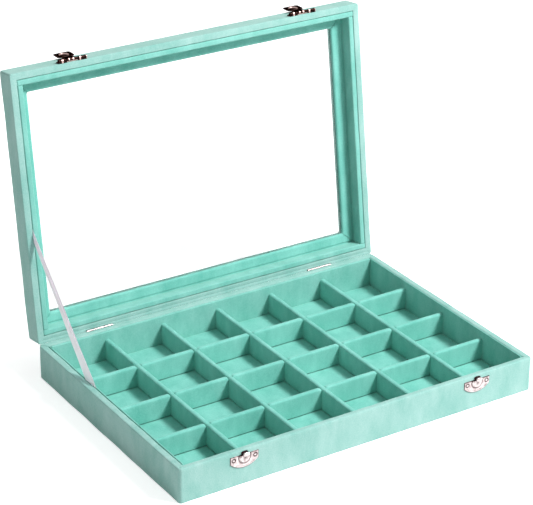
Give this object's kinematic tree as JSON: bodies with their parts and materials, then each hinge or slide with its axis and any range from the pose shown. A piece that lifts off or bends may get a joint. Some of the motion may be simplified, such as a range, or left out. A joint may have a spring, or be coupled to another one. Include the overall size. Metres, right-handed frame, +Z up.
{
  "type": "jewelry display tray",
  "caption": "Shallow velvet-covered display tray with a grid of open compartments and a hinged glass-topped lid held open by a ribbon stay and shut by folding hasps.",
  "frame": {"origin": "middle of the tray's underside", "axes": "+X to the right along the hinges, +Y from the front with its catches to the hinges, +Z up; the lid is stored open, as pictured"},
  "size_m": [0.35, 0.3008, 0.2724],
  "materials": {
    "velvet": "pale sea-green velvet over board, soft nap",
    "nickel": "bright nickel plate, slightly warm",
    "dark_metal": "dark brown plated sheet metal, glossy",
    "ribbon": "pale satin ribbon",
    "glass": "clear polished pane"
  },
  "bodies": {
    "tray": {"tray_front_wall": "velvet", "tray_back_wall": "velvet", "tray_left_wall": "velvet", "tray_right_wall": "velvet", "tray_bottom_board": "velvet", "tray_floor_pad": "velvet", "tray_left_liner": "velvet", "tray_right_liner": "velvet", "tray_back_liner": "velvet", "column_divider_1": "velvet", "column_divider_2": "velvet", "column_divider_3": "velvet", "column_divider_4": "velvet", "column_divider_5": "velvet", "row_divider_1": "velvet", "row_divider_2": "velvet", "row_divider_3": "velvet", "left_hinge_tray_leaf": "nickel", "right_hinge_tray_leaf": "nickel", "left_hinge_pin": "nickel", "right_hinge_pin": "nickel", "tray_hinge_nails": "nickel", "left_catch_plate": "nickel", "right_catch_plate": "nickel", "catch_nails": "nickel", "ribbon_stay": "ribbon"},
    "lid": {"lid_front_rail": "velvet", "lid_back_rail": "velvet", "lid_left_rail": "velvet", "lid_right_rail": "velvet", "lid_front_liner": "velvet", "lid_back_liner": "velvet", "lid_left_liner": "velvet", "lid_right_liner": "velvet", "lid_face_frame": "velvet", "glass_retaining_frame": "velvet", "glass_pane": "glass", "left_hinge_lid_leaf": "nickel", "right_hinge_lid_leaf": "nickel", "lid_hinge_nails": "nickel", "left_clasp_plate": "dark_metal", "right_clasp_plate": "dark_metal", "left_clasp_pin": "dark_metal", "right_clasp_pin": "dark_metal", "clasp_nails": "dark_metal"},
    "left_hasp": {"left_hasp_leaf": "dark_metal"},
    "right_hasp": {"right_hasp_leaf": "dark_metal"}
  },
  "joints": [
    {"name": "lid_hinge", "type": "hinge", "parent": "tray", "child": "lid", "pos_m": [0, 0.12, 0.03165], "axis": [1, 0, 0], "range_deg": [0, 98], "deforming": ["ribbon_stay"]},
    {"name": "left_hasp_hinge", "type": "hinge", "parent": "lid", "child": "left_hasp", "pos_m": [-0.1155, 0.15542, 0.2711], "axis": [1, 0, 0], "range_deg": [0, 173.56]},
    {"name": "right_hasp_hinge", "type": "hinge", "parent": "lid", "child": "right_hasp", "pos_m": [0.1155, 0.15542, 0.2711], "axis": [1, 0, 0], "range_deg": [0, 173.56]}
  ]
}
